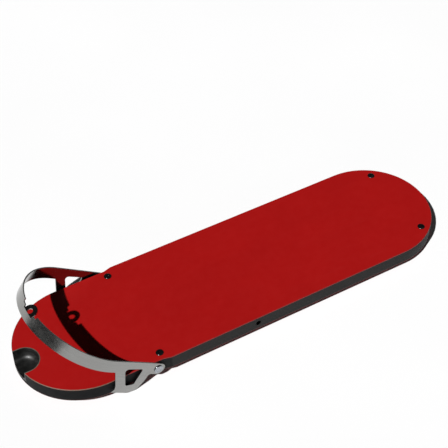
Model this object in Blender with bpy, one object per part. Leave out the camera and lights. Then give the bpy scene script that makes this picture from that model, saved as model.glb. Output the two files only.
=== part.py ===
"""Rigid rescue stretcher board with a swinging stainless bail.

A sandwich board (deck panel, rim, foam core, base panel) stands on two underside runners.
Its front end carries a strip-steel bail: a hoop with a leg on each arm, hinged on two bolts.
Metres, +Z up, +X towards the plain rear end, near side at -Y. The bail is shown raised.
"""
import math

import bmesh
import bpy
from mathutils import Matrix, Vector

# ---- driving dimensions -------------------------------------------------------------------
WIDTH = 0.500                 # board width at the rear, wide part
LENGTH = 1.786                # overall length of the board
THICKNESS = 0.062             # both panels and the core
PANEL = 0.004                 # thickness of each skin panel
GAP = 0.0003                  # assembly gap between touching pieces
GROUND_CLEARANCE = 0.030      # height of the runners
FRONT_INSET = 0.00834         # the front end is this much narrower on each side
REAR_STRETCH = 1.016          # length of the rear end curve over its half width
FRONT_STRETCH = 1.061         # the same for the front end curve
SHOULDER_REAR_X = -0.400      # where the full width starts to taper
SHOULDER_FRONT_X = -0.432     # where the narrow front part starts
EDGE_CHAMFER = 0.0012         # eased edges of the skin panels
RIM_WALL = 0.022              # width of the moulded rim
ARC_STEPS = 48                # segments in each end curve
BEYOND = 0.010                # how far a cutter runs past the face that it opens
ACROSS = 0.300                # half length of a cutter that crosses the whole board

RECESS_CENTRE_X = -0.8635     # centre of the hand recess's round end
RECESS_RADIUS = 0.0573        # opening in the deck panel
RECESS_DEPTH = 0.044          # from the deck to the floor of the scoop
RECESS_WALL = 0.003
RECESS_FILLET = 0.024         # sweep between the scoop's wall and its floor

PIVOT_X = -0.4575             # bail hinge axis
BAIL_RAISED_DEG = 35.65       # raised pose, measured from the hoop lying flush
STRIP_THICKNESS = 0.005
STRIP_HALF = 0.0252           # half the height of the strip
HOOP_HALF_WIDTH = 0.2533      # outer face of each arm
HOOP_REACH = 0.4525           # pivot to the outer face of the apex
HOOP_CURVE = 0.2453           # length of the hoop's curved end
LUG_TILT_DEG = 42.0           # how far the towing lug leans in from the strip
LUG_ROOT = 0.0055             # height of the lug's bend above the strip's centre line
LUG_CENTRE = 0.0104           # bend to eye centre
LUG_RADIUS = 0.0270
LUG_EYE_RADIUS = 0.0108
LUG_ROOT_HALF = 0.030         # half the width of the lug where it leaves the strip
LUG_BITE = 0.0032             # how far the lug's root lies inside the strip
LUG_OPEN_DEG = 192            # how much of a circle the lug's outline makes
RELIEF_HALF_WIDTH = 0.050     # the strip's edge is cut down this far each side of the lug
RELIEF_EDGE = 0.0145          # the height that it is cut down to
RELIEF_CORNER = 0.0045
LUG_SLOT_HALF = 0.031         # the edge is lower still where the lug bends out
LUG_SLOT_CORNER = 0.0030
RELIEF_SPAN = (0.38, 0.50)    # distances ahead of the pivot that the relief cutter crosses

BOLT_RADIUS = 0.006
BUSH_RADIUS = 0.010
BUSH_FLANGE = 0.0015
WASHER_RADIUS = 0.019
CAP_RADIUS = 0.017
CAP_HEIGHT = 0.0036
HEAD_RADIUS = 0.015
HEAD_HEIGHT = 0.0022
BLOCK_SIZE = (0.036, 0.030, 0.040)

DECK_SCREWS = {"front": (-0.4295, 0.2115), "rear": (0.7730, 0.1715)}
SCREW_DOME = ((0.0148, 0.0), (0.0136, 0.0021), (0.0105, 0.0034), (0.0064, 0.0040),
              (0.0042, 0.0040), (0.0038, 0.0015))     # from the rim in to the key hole's floor
SCREW_SHANK_RADIUS = 0.004
SCREW_LENGTH = 0.042
BARREL_RADIUS = 0.007
BARREL_FLANGE = (0.0125, 0.0020)   # radius, thickness
BARREL_TOP = 0.030            # above the base panel's face
BARREL_BORE_FLOOR = 0.012
SOCKET_X = -0.036
SOCKET_BORE = 0.009
SOCKET_RADIUS = 0.012
SOCKET_DEPTH = 0.040
SOCKET_FLOOR = 0.002
SOCKET_EASE = 0.001           # eased edges of the socket's mouth

RUNNER_Y = 0.110
RUNNER_WIDTH = 0.036
RUNNER_ENDS = (-0.600, 0.640)
RUNNER_RISE = 0.040           # length of each sloped runner tip
RUNNER_TIP_HEIGHT = 0.006     # depth of the runner's blunt ends
RUNNER_EASE = 0.003           # eased lower edges
RUNNER_SCREWS_X = {"front": -0.500, "middle": 0.020, "rear": 0.540}
RUNNER_SHANK_RADIUS = 0.003
RUNNER_HEAD_RADIUS = 0.007
RUNNER_HEAD_HEIGHT = 0.0042
RUNNER_SEAT = 0.012           # level of the counterbore's floor
RUNNER_SCREW_TOP = 0.056
INSERT_RADIUS = 0.006
INSERT_LENGTH = 0.026
STIFFENER_Y = 0.150
STIFFENER_SIZE = (0.025, 0.048)
STIFFENER_ENDS = (-0.360, 0.620)
STIFFENER_WALL = 0.0025
DOWEL_RADIUS = 0.003
DOWEL_HALF_LENGTH = 0.015
DOWEL_INSET = 0.0077          # from the narrow part's side to the dowel
DOWEL_LEVELS = {"low": 0.046, "high": 0.077}

# ---- derived levels -----------------------------------------------------------------------
BASE_Z = GROUND_CLEARANCE
DECK_Z = BASE_Z + THICKNESS
CORE_LOW = BASE_Z + PANEL + GAP
CORE_HIGH = DECK_Z - PANEL - GAP
PIVOT_Z = DECK_Z - THICKNESS / 2 + 0.0005
FRONT_HALF = WIDTH / 2 - FRONT_INSET
ARM_INNER = HOOP_HALF_WIDTH - STRIP_THICKNESS
SIDES = {"near": -1, "far": 1}

ARM_END = HOOP_REACH - HOOP_CURVE

# Side outline of one arm and its leg: distance ahead of the pivot, height, corner radius.
ARM_OUTLINE = (
    (ARM_END, -STRIP_HALF, 0.0), (ARM_END, STRIP_HALF, 0.0),
    (-0.0260, STRIP_HALF, 0.0250), (-0.0260, -STRIP_HALF, 0.0250), (0.0290, -STRIP_HALF, 0.0100),
    (0.0300, -0.0600, 0.0300), (0.0405, -0.1042, 0.0030), (0.0690, -0.1165, 0.0200),
    (0.0800, -0.1205, 0.0100), (0.1500, -0.1205, 0.0008), (0.1395, -0.1080, 0.0080),
    (0.1460, -0.0890, 0.0200), (0.1860, -STRIP_HALF, 0.0070))
WINDOW_OUTLINE = (
    (0.0695, -0.0045, 0.0080), (0.0690, -0.0775, 0.0070), (0.1020, -0.0870, 0.0100),
    (0.1510, -0.0090, 0.0110))


# ---- modelling helpers --------------------------------------------------------------------
def clear_scene():
    """Remove what the start-up file holds."""
    for obj in list(bpy.data.objects):
        bpy.data.objects.remove(obj, do_unlink=True)


def material(name, colour, roughness, metallic=0.0):
    """Return a Principled material."""
    mat = bpy.data.materials.new(name)
    mat.use_nodes = True
    shader = mat.node_tree.nodes["Principled BSDF"]
    shader.inputs["Base Color"].default_value = (*colour, 1.0)
    shader.inputs["Roughness"].default_value = roughness
    shader.inputs["Metallic"].default_value = metallic
    return mat


def add_object(name, bm, mat=None):
    """Turn a bmesh into a linked object with its faces outward."""
    bmesh.ops.recalc_face_normals(bm, faces=bm.faces)
    mesh = bpy.data.meshes.new(name)
    bm.to_mesh(mesh)
    bm.free()
    if mat is not None:
        mesh.materials.append(mat)
        mesh.shade_smooth()
        mesh.set_sharp_from_angle(angle=math.radians(30))
    obj = bpy.data.objects.new(name, mesh)
    bpy.context.collection.objects.link(obj)
    if mat is None:
        obj.hide_render = True
        obj.display_type = "WIRE"
    return obj


def loft(bm, loops):
    """Skin a row of closed loops that have equal counts, and cap both ends."""
    rings = [[bm.verts.new(point) for point in loop] for loop in loops]
    count = len(rings[0])
    for low, high in zip(rings, rings[1:]):
        for i in range(count):
            j = (i + 1) % count
            bm.faces.new((low[i], low[j], high[j], high[i]))
    bm.faces.new(rings[0])
    bm.faces.new(list(reversed(rings[-1])))


def at_height(outline, z):
    """Lift a flat outline of (x, y) pairs to height z."""
    return [Vector((x, y, z)) for x, y in outline]


def prism(name, outline, low, high, mat=None):
    """A vertical prism over an outline."""
    bm = bmesh.new()
    loft(bm, [at_height(outline, low), at_height(outline, high)])
    return add_object(name, bm, mat)


def ribbon_sides(bm, outer, inner, low, high):
    """The sides of a band between two plan curves of equal count, with both ends open."""
    rows = []
    for (xo, yo), (xi, yi) in zip(outer, inner):
        rows.append([bm.verts.new(p) for p in
                     ((xo, yo, low), (xo, yo, high), (xi, yi, high), (xi, yi, low))])
    for a, b in zip(rows, rows[1:]):
        for k in range(4):
            m = (k + 1) % 4
            bm.faces.new((a[k], a[m], b[m], b[k]))
    return rows


def ribbon(bm, outer, inner, low, high):
    """A closed band between two plan curves."""
    rows = ribbon_sides(bm, outer, inner, low, high)
    bm.faces.new(rows[0])
    bm.faces.new(list(reversed(rows[-1])))


def arc(centre_x, reach, half, start, stop, steps=ARC_STEPS):
    """Points of an elliptical end curve, from one angle to another in degrees."""
    angles = [math.radians(start + (stop - start) * i / steps) for i in range(steps + 1)]
    return [(centre_x + reach * math.cos(a), half * math.sin(a)) for a in angles]


def rear_curve(offset=0.0):
    """The rear end curve, from near side to far side, moved in by offset."""
    reach = WIDTH / 2 * REAR_STRETCH
    return arc(LENGTH / 2 - reach, reach - offset, WIDTH / 2 - offset, -90, 90)


def front_curve(offset=0.0):
    """The front end curve, from far side to near side, moved in by offset."""
    reach = FRONT_HALF * FRONT_STRETCH
    return arc(-LENGTH / 2 + reach, reach - offset, FRONT_HALF - offset, 90, 270)


def board_outline(offset=0.0):
    """The whole board in plan, with the shoulders where the front part narrows."""
    wide = WIDTH / 2 - offset
    narrow = FRONT_HALF - offset
    far = [(SHOULDER_REAR_X, wide), (SHOULDER_FRONT_X, narrow)]
    near = [(x, -y) for x, y in reversed(far)]
    return rear_curve(offset) + far + front_curve(offset) + near


def recess_outline(radius):
    """The hand recess in plan: a round end, and straight sides that run out past the front."""
    sides = [(-LENGTH / 2 - 0.02, radius), (-LENGTH / 2 - 0.02, -radius)]
    return arc(RECESS_CENTRE_X, radius, radius, -90, 90, 28) + sides


def rounded_outline(corners, steps=6):
    """Replace each (a, b, radius) corner of a polygon by an arc that touches both its edges."""
    points = []
    for i, (a, b, radius) in enumerate(corners):
        here = Vector((a, b))
        if radius == 0.0:
            points.append(here)
            continue
        before = (Vector(corners[i - 1][:2]) - here).normalized()
        after = (Vector(corners[(i + 1) % len(corners)][:2]) - here).normalized()
        half = before.angle(after) / 2
        reach = radius / math.tan(half)
        centre = here + (before + after).normalized() * radius / math.sin(half)
        first = here + before * reach - centre
        last = here + after * reach - centre
        turn = first.angle_signed(last)
        for k in range(steps + 1):
            points.append(centre + Matrix.Rotation(-turn * k / steps, 2) @ first)
    return points


def turned(name, profile, origin, direction, mat=None, segments=32):
    """A solid turned about an axis: profile is (radius, distance along the axis) pairs."""
    bm = bmesh.new()
    add_turned(bm, profile, origin, direction, segments)
    return add_object(name, bm, mat)


def add_turned(bm, profile, origin, direction, segments=32):
    """Add a turned solid to a bmesh."""
    turn = Vector((0, 0, 1)).rotation_difference(Vector(direction)).to_matrix()
    loops = []
    for radius, height in profile:
        loop = []
        for i in range(segments):
            a = 2 * math.pi * i / segments
            loop.append(turn @ Vector((radius * math.cos(a), radius * math.sin(a), height))
                        + Vector(origin))
        loops.append(loop)
    loft(bm, loops)


def add_ring(bm, outer, inner, low, high, origin, direction, segments=32):
    """Add a plain round tube to a bmesh."""
    turn = Vector((0, 0, 1)).rotation_difference(Vector(direction)).to_matrix()
    rows = []
    for i in range(segments):
        a = 2 * math.pi * i / segments
        row = [(outer, low), (outer, high), (inner, high), (inner, low)]
        rows.append([bm.verts.new(turn @ Vector((r * math.cos(a), r * math.sin(a), h))
                                  + Vector(origin)) for r, h in row])
    for i in range(segments):
        a, b = rows[i], rows[(i + 1) % segments]
        for k in range(4):
            m = (k + 1) % 4
            bm.faces.new((a[k], a[m], b[m], b[k]))


def add_box(bm, low, high):
    """Add a box between two corners to a bmesh."""
    x0, y0, z0 = low
    x1, y1, z1 = high
    outline = [(x0, y0), (x1, y0), (x1, y1), (x0, y1)]
    loft(bm, [at_height(outline, z0), at_height(outline, z1)])


def cutter(name, build):
    """Make a hidden cutter object from a function that fills a bmesh."""
    bm = bmesh.new()
    build(bm)
    return add_object(name, bm)


def cut(obj, tool, operation="DIFFERENCE"):
    """Add an exact Boolean to an object."""
    mod = obj.modifiers.new(tool.name, "BOOLEAN")
    mod.operation = operation
    mod.solver = "EXACT"
    mod.object = tool


def screw_places():
    """Deck screw centres by name."""
    return {f"{end}_{name}": (x, side * y)
            for end, (x, y) in DECK_SCREWS.items() for name, side in SIDES.items()}


def runner_places():
    """Runner screw centres by name."""
    return {f"{end}_{name}": (x, side * RUNNER_Y)
            for end, x in RUNNER_SCREWS_X.items() for name, side in SIDES.items()}


def drill(bm, places, radius, low, high, segments=24):
    """Fill a bmesh with vertical drills."""
    for x, y in places.values():
        add_turned(bm, [(radius, low), (radius, high)], (x, y, 0), (0, 0, 1), segments)


# ---- materials ----------------------------------------------------------------------------
def make_materials():
    """One material for each sub-part, by name."""
    table = {
        "deck_panel": ((0.370, 0.008, 0.008), 0.42, 0.0),
        "base_panel": ((0.300, 0.008, 0.008), 0.50, 0.0),
        "rim_front": ((0.030, 0.030, 0.030), 0.60, 0.0),
        "rim_rear": ((0.034, 0.034, 0.032), 0.60, 0.0),
        "foam_core": ((0.700, 0.640, 0.430), 0.90, 0.0),
        "stiffener": ((0.620, 0.630, 0.640), 0.40, 1.0),
        "hand_recess_cup": ((0.020, 0.020, 0.018), 0.38, 0.0),
        "bail_hoop": ((0.560, 0.560, 0.540), 0.30, 1.0),
        "pivot_bolt": ((0.500, 0.500, 0.500), 0.30, 1.0),
        "pivot_bush": ((0.750, 0.730, 0.660), 0.50, 0.0),
        "pivot_washer": ((0.025, 0.025, 0.025), 0.60, 0.0),
        "pivot_cap": ((0.620, 0.630, 0.640), 0.35, 1.0),
        "pivot_block": ((0.600, 0.610, 0.620), 0.45, 1.0),
        "deck_screw": ((0.012, 0.012, 0.012), 0.30, 0.0),
        "barrel_nut": ((0.550, 0.550, 0.550), 0.35, 1.0),
        "side_socket": ((0.012, 0.012, 0.012), 0.50, 0.0),
        "runner": ((0.028, 0.028, 0.028), 0.55, 0.0),
        "runner_screw": ((0.500, 0.500, 0.500), 0.35, 1.0),
        "runner_insert": ((0.620, 0.480, 0.200), 0.40, 1.0),
        "rim_dowel": ((0.480, 0.480, 0.480), 0.40, 1.0),
    }
    return {name: material(name, *values) for name, values in table.items()}


# ---- the board ----------------------------------------------------------------------------
def make_panels(mats):
    """The two skins, with eased outer edges and their holes."""
    for name, low, eased in (("deck_panel", DECK_Z - PANEL, 1), ("base_panel", BASE_Z, -1)):
        soft = at_height(board_outline(EDGE_CHAMFER), low + PANEL if eased > 0 else low)
        full_low = low if eased > 0 else low + EDGE_CHAMFER
        full_high = low + PANEL - (EDGE_CHAMFER if eased > 0 else 0.0)
        loops = [at_height(board_outline(), full_low), at_height(board_outline(), full_high)]
        loops = loops + [soft] if eased > 0 else [soft] + loops
        bm = bmesh.new()
        loft(bm, loops)
        panel = add_object(name, bm, mats[name])
        if eased > 0:
            cut(panel, prism("cut_recess_deck", recess_outline(RECESS_RADIUS), low - BEYOND,
                             DECK_Z + BEYOND))
            cut(panel, cutter("cut_deck_screws", lambda bm: drill(
                bm, screw_places(), SCREW_SHANK_RADIUS + GAP, low - BEYOND, DECK_Z + BEYOND)))
        else:
            cut(panel, cutter("cut_base_holes", base_holes))


def base_holes(bm):
    """Drills through the base panel: barrel nuts and runner screws."""
    low, high = BASE_Z - BEYOND, BASE_Z + PANEL + BEYOND
    drill(bm, screw_places(), BARREL_RADIUS + GAP, low, high)
    drill(bm, runner_places(), RUNNER_SHANK_RADIUS + GAP, low, high)


def make_rims(mats):
    """The moulded edge in two pieces, which meet in front of the shoulders."""
    bm = bmesh.new()
    outer = rear_curve() + [(SHOULDER_REAR_X, WIDTH / 2), (SHOULDER_FRONT_X, FRONT_HALF)]
    outer = [(SHOULDER_FRONT_X, -FRONT_HALF), (SHOULDER_REAR_X, -WIDTH / 2)] + outer
    wall = WIDTH / 2 - RIM_WALL
    inner = rear_curve(RIM_WALL) + [(SHOULDER_REAR_X, wall), (SHOULDER_FRONT_X, wall)]
    inner = [(SHOULDER_FRONT_X, -wall), (SHOULDER_REAR_X, -wall)] + inner
    ribbon(bm, outer, inner, CORE_LOW, CORE_HIGH)
    rear = add_object("rim_rear", bm, mats["rim_rear"])
    cut(rear, cutter("cut_rim_sockets", socket_holes))
    cut(rear, cutter("cut_rear_dowels", dowel_holes))

    bm = bmesh.new()
    end_x = SHOULDER_FRONT_X - GAP
    outer = [(end_x, FRONT_HALF)] + front_curve() + [(end_x, -FRONT_HALF)]
    wall = FRONT_HALF - RIM_WALL
    inner = [(end_x, wall)] + front_curve(RIM_WALL) + [(end_x, -wall)]
    ribbon(bm, outer, inner, CORE_LOW, CORE_HIGH)
    front = add_object("rim_front", bm, mats["rim_front"])
    cut(front, prism("cut_recess_rim", recess_outline(RECESS_RADIUS),
                     DECK_Z - RECESS_DEPTH - RECESS_WALL - GAP, DECK_Z + BEYOND))
    cut(front, cutter("cut_rim_pivots", lambda bm: add_turned(
        bm, [(BOLT_RADIUS + GAP, -ACROSS), (BOLT_RADIUS + GAP, ACROSS)],
        (PIVOT_X, 0, PIVOT_Z), (0, 1, 0), 24)))
    cut(front, cutter("cut_front_dowels", dowel_holes))


def socket_holes(bm):
    """Bores for the two side sockets, from the rim's face inward."""
    inner = WIDTH / 2 - SOCKET_DEPTH - SOCKET_FLOOR - 2 * GAP
    for side in SIDES.values():
        add_turned(bm, [(SOCKET_RADIUS + GAP, inner), (SOCKET_RADIUS + GAP, WIDTH / 2 + BEYOND)],
                   (SOCKET_X, 0, PIVOT_Z), (0, side, 0))


def dowel_places():
    """Centres of the four dowels across the rim joints, by name."""
    y = FRONT_HALF - DOWEL_INSET
    return {f"{name}_{level}": (SHOULDER_FRONT_X, side * y, z)
            for name, side in SIDES.items() for level, z in DOWEL_LEVELS.items()}


def dowel_holes(bm):
    """Blind holes for the dowels."""
    for place in dowel_places().values():
        radius, half = DOWEL_RADIUS + GAP, DOWEL_HALF_LENGTH + GAP
        add_turned(bm, [(radius, -half), (radius, half)], place, (1, 0, 0), 16)


def make_dowels(mats):
    """Four steel dowels that line the two rim pieces up."""
    for name, place in dowel_places().items():
        profile = [(DOWEL_RADIUS, -DOWEL_HALF_LENGTH), (DOWEL_RADIUS, DOWEL_HALF_LENGTH)]
        turned(f"rim_dowel_{name}", profile, place, (1, 0, 0), mats["rim_dowel"], 16)


def make_core(mats):
    """The foam core, with pockets for all that is buried in it."""
    joint = SHOULDER_FRONT_X
    offset = RIM_WALL + GAP
    far = [(joint, WIDTH / 2 - offset), (joint, FRONT_HALF - offset)]
    near = [(x, -y) for x, y in reversed(far)]
    outline = rear_curve(offset) + far + front_curve(offset) + near
    core = prism("foam_core", outline, CORE_LOW, CORE_HIGH, mats["foam_core"])
    cut(core, prism("cut_recess_core", recess_outline(RECESS_RADIUS),
                    DECK_Z - RECESS_DEPTH - RECESS_WALL - GAP, DECK_Z))
    cut(core, cutter("cut_core_pockets", core_pockets))
    cut(core, cutter("cut_core_sockets", socket_holes))


def core_pockets(bm):
    """Pockets in the foam for stiffeners, pivot blocks, barrel nuts and runner inserts."""
    half_w, half_h = STIFFENER_SIZE[0] / 2 + GAP, STIFFENER_SIZE[1] / 2 + GAP
    for side in SIDES.values():
        y = side * STIFFENER_Y
        add_box(bm, (STIFFENER_ENDS[0] - GAP, y - half_w, PIVOT_Z - half_h),
                (STIFFENER_ENDS[1] + GAP, y + half_w, DECK_Z))
        add_box(bm, *block_corners(side, GAP, BEYOND))
    drill(bm, screw_places(), BARREL_RADIUS + GAP, BASE_Z, DECK_Z)
    drill(bm, runner_places(), INSERT_RADIUS + GAP, BASE_Z, CORE_LOW + INSERT_LENGTH + 2 * GAP)


def block_corners(side, grow, outward=0.0):
    """Opposite corners of a pivot block, grown all round, and further towards the rim."""
    length, depth, height = BLOCK_SIZE
    face = FRONT_HALF - RIM_WALL - GAP
    ys = sorted((side * (face - depth - grow), side * (face + outward)))
    low = (PIVOT_X - length / 2 - grow, ys[0], PIVOT_Z - height / 2 - grow)
    high = (PIVOT_X + length / 2 + grow, ys[1], PIVOT_Z + height / 2 + grow)
    return low, high


def make_stiffeners(mats):
    """Two aluminium box sections inside the foam."""
    x0, x1 = STIFFENER_ENDS
    half_w, half_h = STIFFENER_SIZE[0] / 2, STIFFENER_SIZE[1] / 2
    for name, side in SIDES.items():
        y = side * STIFFENER_Y
        section = [(-half_w, -half_h), (half_w, -half_h), (half_w, half_h), (-half_w, half_h)]
        bore = [(a - math.copysign(STIFFENER_WALL, a), b - math.copysign(STIFFENER_WALL, b))
                for a, b in section]
        bm = bmesh.new()
        ends = [[bm.verts.new((x, y + a, PIVOT_Z + b)) for a, b in loop]
                for x in (x0, x1) for loop in (section, bore)]
        outer0, inner0, outer1, inner1 = ends
        for k in range(4):
            m = (k + 1) % 4
            bm.faces.new((outer0[k], outer0[m], outer1[m], outer1[k]))
            bm.faces.new((inner0[m], inner0[k], inner1[k], inner1[m]))
            bm.faces.new((outer0[m], outer0[k], inner0[k], inner0[m]))
            bm.faces.new((outer1[k], outer1[m], inner1[m], inner1[k]))
        add_object(f"stiffener_{name}", bm, mats["stiffener"])


def make_recess_cup(mats):
    """The moulded scoop in the front end, open forwards, its mouth flush with the rim."""
    low = DECK_Z - RECESS_DEPTH - RECESS_WALL
    cup = prism("hand_recess_cup", recess_outline(RECESS_RADIUS - GAP), low, DECK_Z,
                mats["hand_recess_cup"])
    cut(cup, prism("keep_board_plan", board_outline(), BASE_Z, DECK_Z + BEYOND), "INTERSECT")
    radius = RECESS_RADIUS - GAP - RECESS_WALL
    floor = DECK_Z - RECESS_DEPTH
    loops = []
    for k in range(7):
        a = math.radians(90 * k / 6)
        inset = RECESS_FILLET * (1 - math.sin(a))
        loops.append(at_height(recess_outline(radius - inset),
                               floor + RECESS_FILLET * (1 - math.cos(a))))
    loops.append(at_height(recess_outline(radius), DECK_Z + BEYOND))
    cut(cup, cutter("cut_scoop", lambda bm: loft(bm, loops)))


def make_deck_screws(mats):
    """Four domed screws in the deck, and the barrel nuts that they draw up from below."""
    dome = [(SCREW_SHANK_RADIUS, -SCREW_LENGTH), (SCREW_SHANK_RADIUS, 0.0), *SCREW_DOME]
    bore = SCREW_SHANK_RADIUS + GAP
    flange, thick = BARREL_FLANGE
    barrel = [(flange, -GAP - thick), (flange, -GAP), (BARREL_RADIUS, -GAP),
              (BARREL_RADIUS, BARREL_TOP), (bore, BARREL_TOP), (bore, BARREL_BORE_FLOOR)]
    for name, (x, y) in screw_places().items():
        turned(f"deck_screw_{name}", dome, (x, y, DECK_Z + GAP), (0, 0, 1), mats["deck_screw"], 24)
        turned(f"barrel_nut_{name}", barrel, (x, y, BASE_Z), (0, 0, 1), mats["barrel_nut"], 24)


def make_side_sockets(mats):
    """A blind moulded socket at mid length in each side."""
    face = WIDTH / 2 - GAP
    back = face - SOCKET_DEPTH
    eased = face - SOCKET_EASE
    profile = [(SOCKET_RADIUS, back - SOCKET_FLOOR), (SOCKET_RADIUS, eased),
               (SOCKET_RADIUS - SOCKET_EASE, face), (SOCKET_BORE + SOCKET_EASE, face),
               (SOCKET_BORE, eased), (SOCKET_BORE, back)]
    for name, side in SIDES.items():
        turned(f"side_socket_{name}", profile, (SOCKET_X, 0, PIVOT_Z), (0, side, 0),
               mats["side_socket"])


def make_runners(mats):
    """Two underside runners with sloped tips, their screws and the inserts in the foam."""
    x0, x1 = RUNNER_ENDS
    top = BASE_Z - GAP
    half = RUNNER_WIDTH / 2
    levels = ((0.0, RUNNER_RISE, RUNNER_EASE), (RUNNER_EASE, RUNNER_RISE - 2 * RUNNER_EASE, 0.0),
              (top - RUNNER_TIP_HEIGHT, 0.0, 0.0), (top, 0.0, 0.0))
    for name, side in SIDES.items():
        y = side * RUNNER_Y
        bm = bmesh.new()
        loops = []
        for z, inset, ease in levels:
            outline = [(x0 + inset, -half + ease), (x1 - inset, -half + ease),
                       (x1 - inset, half - ease), (x0 + inset, half - ease)]
            loops.append(at_height([(a, y + b) for a, b in outline], z))
        loft(bm, loops)
        runner = add_object(f"runner_{name}", bm, mats["runner"])
        cut(runner, cutter(f"cut_runner_{name}", lambda bm: runner_bores(bm, y)))

    seat = RUNNER_SEAT - GAP
    low = seat - RUNNER_HEAD_HEIGHT
    screw = [(RUNNER_SHANK_RADIUS, low + 0.002), (RUNNER_SHANK_RADIUS, low),
             (RUNNER_HEAD_RADIUS, low), (RUNNER_HEAD_RADIUS, seat),
             (RUNNER_SHANK_RADIUS, seat), (RUNNER_SHANK_RADIUS, RUNNER_SCREW_TOP)]
    for name, (x, y) in runner_places().items():
        turned(f"runner_screw_{name}", screw, (x, y, 0), (0, 0, 1), mats["runner_screw"], 20)
        bm = bmesh.new()
        add_ring(bm, INSERT_RADIUS, RUNNER_SHANK_RADIUS + GAP, CORE_LOW,
                 CORE_LOW + INSERT_LENGTH, (x, y, 0), (0, 0, 1), 20)
        add_object(f"runner_insert_{name}", bm, mats["runner_insert"])


def runner_bores(bm, y):
    """Counterbored holes along one runner."""
    wide, narrow = RUNNER_HEAD_RADIUS + 0.001, RUNNER_SHANK_RADIUS + GAP
    profile = [(wide, -BEYOND), (wide, RUNNER_SEAT), (narrow, RUNNER_SEAT),
               (narrow, BASE_Z + BEYOND)]
    for x in RUNNER_SCREWS_X.values():
        add_turned(bm, profile, (x, y, 0), (0, 0, 1), 20)


# ---- the bail -----------------------------------------------------------------------------
def make_bail(mats):
    """The hoop, its arms and legs in one bent sheet, turned up about the hinge axis."""
    bm = bmesh.new()
    outer = arc(-ARM_END, -HOOP_CURVE, HOOP_HALF_WIDTH, -90, 90)
    inner = arc(-ARM_END, STRIP_THICKNESS - HOOP_CURVE, ARM_INNER, -90, 90)
    rows = ribbon_sides(bm, outer, inner, -STRIP_HALF, STRIP_HALF)
    side_view = rounded_outline(ARM_OUTLINE)[2:]
    for row in (rows[0], rows[-1]):
        outer_face = row[:2] + [bm.verts.new((-u, row[0].co.y, v)) for u, v in side_view]
        inner_face = [row[3], row[2]] + [bm.verts.new((-u, row[2].co.y, v)) for u, v in side_view]
        for a in range(1, len(outer_face)):
            b = (a + 1) % len(outer_face)
            bm.faces.new((outer_face[a], outer_face[b], inner_face[b], inner_face[a]))
        bm.faces.new(outer_face)
        bm.faces.new(list(reversed(inner_face)))
    bail = add_object("bail_hoop", bm, mats["bail_hoop"])
    cutters = [cutter("cut_ear_bores", lambda bm: add_turned(
        bm, [(BUSH_RADIUS + GAP, -ACROSS), (BUSH_RADIUS + GAP, ACROSS)], (0, 0, 0), (0, 1, 0),
        40)),
        cutter("cut_leg_windows", leg_windows), cutter("cut_lug_reliefs", lug_reliefs)]
    for tool in cutters:
        cut(bail, tool)
    lug = cutter("join_lug", lug_plate)
    cut(bail, lug, "UNION")
    eye = cutter("cut_lug_eye", lug_eye)
    cut(bail, eye)
    pivot = bpy.data.objects.new("bail_axis", None)
    bpy.context.collection.objects.link(pivot)
    for obj in [bail, lug, eye] + cutters + make_bushes(mats):
        obj.parent = pivot
    pivot.location = (PIVOT_X, 0, PIVOT_Z)
    pivot.rotation_euler = (0, math.radians(BAIL_RAISED_DEG), 0)


def leg_windows(bm):
    """One cutter that opens the window in both legs."""
    outline = rounded_outline(WINDOW_OUTLINE)
    loft(bm, [[Vector((-u, y, v)) for u, v in outline] for y in (-ACROSS, ACROSS)])


def lug_reliefs(bm):
    """The stretch of the strip's upper edge that is cut down each side of the lug, and under it."""
    above = STRIP_HALF + BEYOND
    sides = ((RELIEF_HALF_WIDTH, above, 0.001), (RELIEF_HALF_WIDTH, RELIEF_EDGE, RELIEF_CORNER),
             (LUG_SLOT_HALF, RELIEF_EDGE, LUG_SLOT_CORNER),
             (LUG_SLOT_HALF, LUG_ROOT, LUG_SLOT_CORNER))
    corners = [(-y, v, radius) for y, v, radius in sides] + list(reversed(sides))
    outline = rounded_outline(corners, 4)
    loft(bm, [[Vector((-u, y, v)) for y, v in outline] for u in RELIEF_SPAN])


def lug_frame():
    """The lug plate's own axes: across the board, out along the plate, and its normal."""
    tilt = math.radians(LUG_TILT_DEG)
    along = Vector((math.sin(tilt), 0, math.cos(tilt)))
    normal = Vector((-math.cos(tilt), 0, math.sin(tilt)))
    root = Vector((-HOOP_REACH + LUG_BITE, 0, LUG_ROOT - STRIP_THICKNESS / 2))
    return root, along, normal


def lug_plate(bm):
    """The round-ended plate that leans in from the strip's upper edge."""
    root, along, normal = lug_frame()
    outline = [(LUG_ROOT_HALF, 0.0)]
    for k in range(25):
        a = math.radians(90 + LUG_OPEN_DEG * (k / 24 - 0.5))
        outline.append((LUG_RADIUS * math.cos(a), LUG_CENTRE + LUG_RADIUS * math.sin(a)))
    outline.append((-LUG_ROOT_HALF, 0.0))
    half = STRIP_THICKNESS / 2
    loft(bm, [[root + Vector((0, y, 0)) + along * w + normal * n for y, w in outline]
              for n in (-half, half)])


def lug_eye(bm):
    """The hole in the lug."""
    root, along, normal = lug_frame()
    reach = 2 * STRIP_THICKNESS
    add_turned(bm, [(LUG_EYE_RADIUS, -reach / 2), (LUG_EYE_RADIUS, 2 * reach)],
               root + along * LUG_CENTRE, normal, 32)


def make_bushes(mats):
    """Flanged bushes in the ears; they turn with the bail."""
    bushes = []
    bore = BOLT_RADIUS + GAP
    inner = ARM_INNER - GAP - BUSH_FLANGE
    for name, side in SIDES.items():
        bm = bmesh.new()
        add_ring(bm, BUSH_RADIUS, bore, inner, HOOP_HALF_WIDTH, (0, 0, 0), (0, side, 0), 40)
        bush = add_object(f"pivot_bush_{name}", bm, mats["pivot_bush"])
        flange = cutter(f"join_flange_{name}", lambda bm: add_ring(
            bm, WASHER_RADIUS - 0.002, bore, inner, inner + BUSH_FLANGE, (0, 0, 0),
            (0, side, 0), 40))
        cut(bush, flange, "UNION")
        bushes += [bush, flange]
    return bushes


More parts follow.
